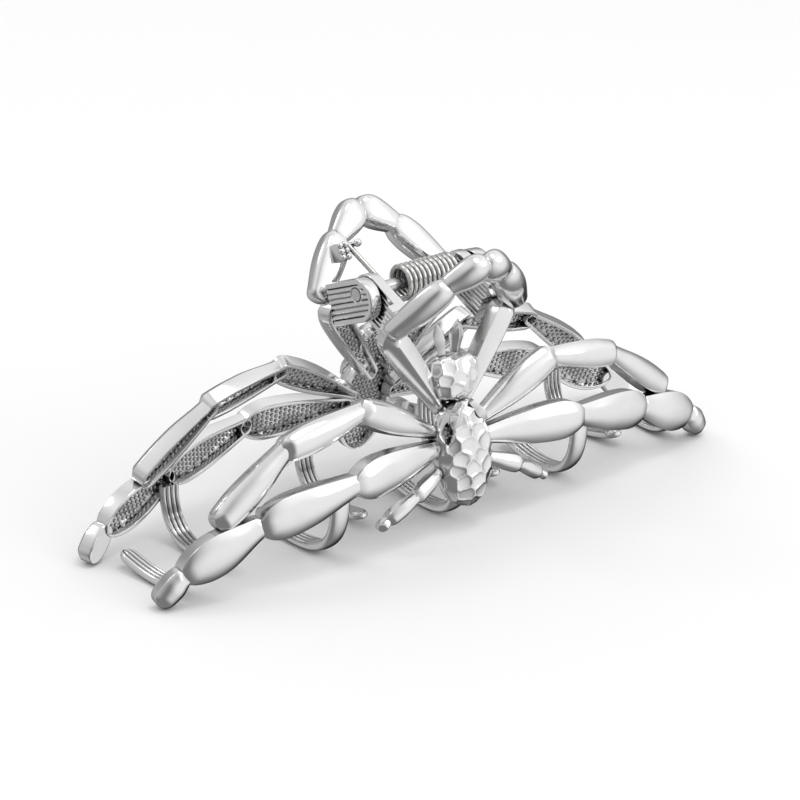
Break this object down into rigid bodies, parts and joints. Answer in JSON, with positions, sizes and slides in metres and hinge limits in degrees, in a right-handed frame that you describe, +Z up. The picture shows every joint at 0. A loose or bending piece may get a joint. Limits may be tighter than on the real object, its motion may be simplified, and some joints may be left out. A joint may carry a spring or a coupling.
{
  "type": "hair claw clip",
  "caption": "Metal spring claw clip for hair, each jaw cast as a long-legged spider, with interlocking curved teeth and leg-shaped handles",
  "frame": {"origin": "centre of the bounding box on the surface the clip stands on, in the middle plane between the two jaws, under the hinge", "axes": "+X along the hinge pin, +Y from the front jaw to the back jaw, +Z up to the handles"},
  "size_m": [0.1204, 0.0338, 0.0485],
  "materials": {
    "plated_metal": "polished silver-coloured plating on cast alloy",
    "pin_metal": "polished steel, flush with the ears",
    "spring_wire": "bright drawn spring wire"
  },
  "bodies": {
    "back_jaw": {"back_abdomen": "plated_metal", "back_head": "plated_metal", "back_handle_lower_left": "plated_metal", "back_handle_lower_right": "plated_metal", "back_handle_upper_left": "plated_metal", "back_handle_upper_right": "plated_metal", "back_upper_leg_left": "plated_metal", "back_upper_leg_right": "plated_metal", "back_main_leg_left": "plated_metal", "back_main_leg_right": "plated_metal", "back_short_leg_left": "plated_metal", "back_short_leg_right": "plated_metal", "back_ear_left": "plated_metal", "back_ear_right": "plated_metal", "back_spring_lug": "plated_metal", "back_tooth_inner_left": "plated_metal", "back_tooth_inner_right": "plated_metal", "back_tooth_outer_left": "plated_metal", "back_tooth_outer_right": "plated_metal", "hinge_pin": "pin_metal", "spring_coil": "spring_wire", "spring_arm_back": "spring_wire"},
    "front_jaw": {"front_abdomen": "plated_metal", "front_head": "plated_metal", "front_handle_lower_left": "plated_metal", "front_handle_lower_right": "plated_metal", "front_handle_upper_left": "plated_metal", "front_handle_upper_right": "plated_metal", "front_upper_leg_left": "plated_metal", "front_upper_leg_right": "plated_metal", "front_main_leg_left": "plated_metal", "front_main_leg_right": "plated_metal", "front_short_leg_left": "plated_metal", "front_short_leg_right": "plated_metal", "front_ear_left": "plated_metal", "front_ear_right": "plated_metal", "front_spring_lug": "plated_metal", "front_tooth_centre": "plated_metal", "front_tooth_inner_left": "plated_metal", "front_tooth_inner_right": "plated_metal", "front_tooth_outer_left": "plated_metal", "front_tooth_outer_right": "plated_metal", "spring_arm_front": "spring_wire"}
  },
  "joints": [
    {"name": "jaw_hinge", "type": "hinge", "parent": "back_jaw", "child": "front_jaw", "pos_m": [0, 0, 0.0388], "axis": [-1, 0, 0], "range_deg": [0, 110], "stiffness_Nm_per_rad": 0.034, "springref_deg": -68.75}
  ]
}
